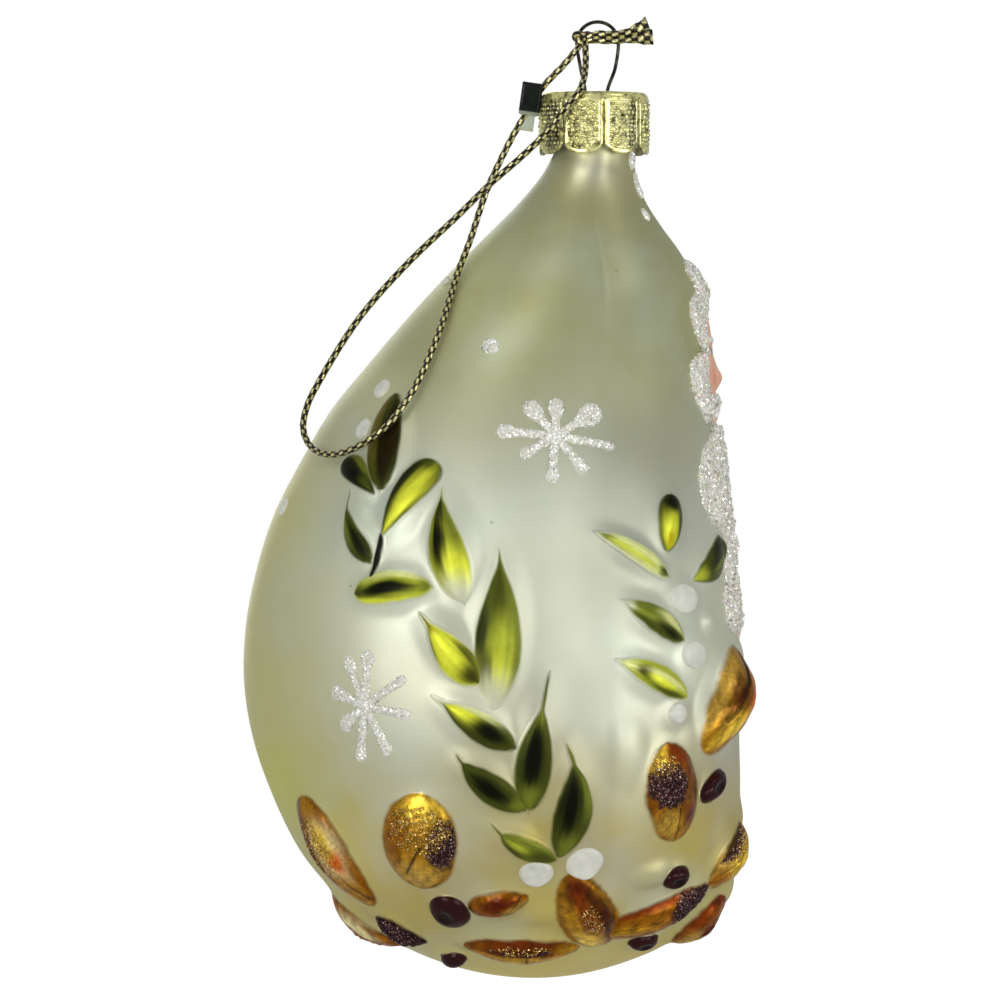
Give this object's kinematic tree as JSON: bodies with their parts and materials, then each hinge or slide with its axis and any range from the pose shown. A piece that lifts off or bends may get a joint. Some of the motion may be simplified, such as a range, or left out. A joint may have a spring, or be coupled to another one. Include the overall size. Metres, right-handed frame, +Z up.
{
  "type": "glass santa ornament",
  "caption": "Hollow blown-glass Father Christmas ornament with painted leaves, nuts and glitter, a stamped crown cap, a wire hanger and a braided cord loop.",
  "frame": {"origin": "inside top of the wire hanger's loop, straight above the axis of the neck, where a hook carries the ornament", "axes": "+Z up along the neck, +X towards the figure's front, -Y towards the viewer of the picture"},
  "size_m": [0.0757, 0.0645, 0.1437],
  "materials": {
    "satin_glass": "silvered inside, satin pearl lacquer outside",
    "gold_sheet": "bright stamped gold, dimpled",
    "spring_wire": "dark drawn wire",
    "braided_cord": "braided metallic gold and dark thread",
    "dark_film": "glossy film",
    "leaf_paint": "green enamel, shaded from dark to yellow",
    "nut_paint": "amber enamel with brown glitter",
    "berry_paint": "dark red-brown enamel",
    "white_enamel": "white enamel",
    "glitter": "white iridescent glitter",
    "face_paint": "satin skin-tone enamel"
  },
  "bodies": {
    "glass": {"glass_body": "satin_glass", "leaf_back_1": "leaf_paint", "leaf_back_2": "leaf_paint", "leaf_back_3": "leaf_paint", "leaf_back_4": "leaf_paint", "leaf_back_5": "leaf_paint", "leaf_back_6": "leaf_paint", "leaf_back_7": "leaf_paint", "leaf_back_8": "leaf_paint", "leaf_back_9": "leaf_paint", "leaf_back_10": "leaf_paint", "leaf_back_11": "leaf_paint", "leaf_back_12": "leaf_paint", "leaf_back_13": "leaf_paint", "leaf_side_1": "leaf_paint", "leaf_side_2": "leaf_paint", "leaf_side_3": "leaf_paint", "leaf_side_4": "leaf_paint", "leaf_side_5": "leaf_paint", "nut_1": "nut_paint", "nut_2": "nut_paint", "nut_3": "nut_paint", "nut_4": "nut_paint", "nut_5": "nut_paint", "nut_6": "nut_paint", "nut_7": "nut_paint", "nut_8": "nut_paint", "nut_9": "nut_paint", "nut_10": "nut_paint", "nut_11": "nut_paint", "nut_12": "nut_paint", "nut_far_1": "nut_paint", "nut_far_2": "nut_paint", "nut_far_3": "nut_paint", "nut_far_4": "nut_paint", "berry_1": "berry_paint", "berry_2": "berry_paint", "berry_3": "berry_paint", "berry_4": "berry_paint", "berry_5": "berry_paint", "dot_1": "white_enamel", "dot_2": "white_enamel", "dot_3": "white_enamel", "dot_4": "white_enamel", "dot_5": "white_enamel", "snowflake_1": "glitter", "snowflake_2": "glitter", "nose": "face_paint", "face": "face_paint", "moustache": "glitter", "beard": "glitter", "hood_trim": "glitter"},
    "cap": {"crown_cap": "gold_sheet", "wire_hanger": "spring_wire"},
    "cord": {"hanging_cord": "braided_cord", "cord_knot": "braided_cord", "cord_tag": "dark_film", "cord_tail_upper": "braided_cord", "cord_tail_lower": "braided_cord"}
  },
  "joints": [
    {"name": "cap_lift", "type": "slide", "parent": "glass", "child": "cap", "axis": [0, 0, 1], "range_m": [0, 0.03]},
    {"name": "cord_swing", "type": "hinge", "parent": "cap", "child": "cord", "pos_m": [0.00053, 0, -0.00285], "axis": [0, 1, 0], "range_deg": [0, 55]}
  ]
}
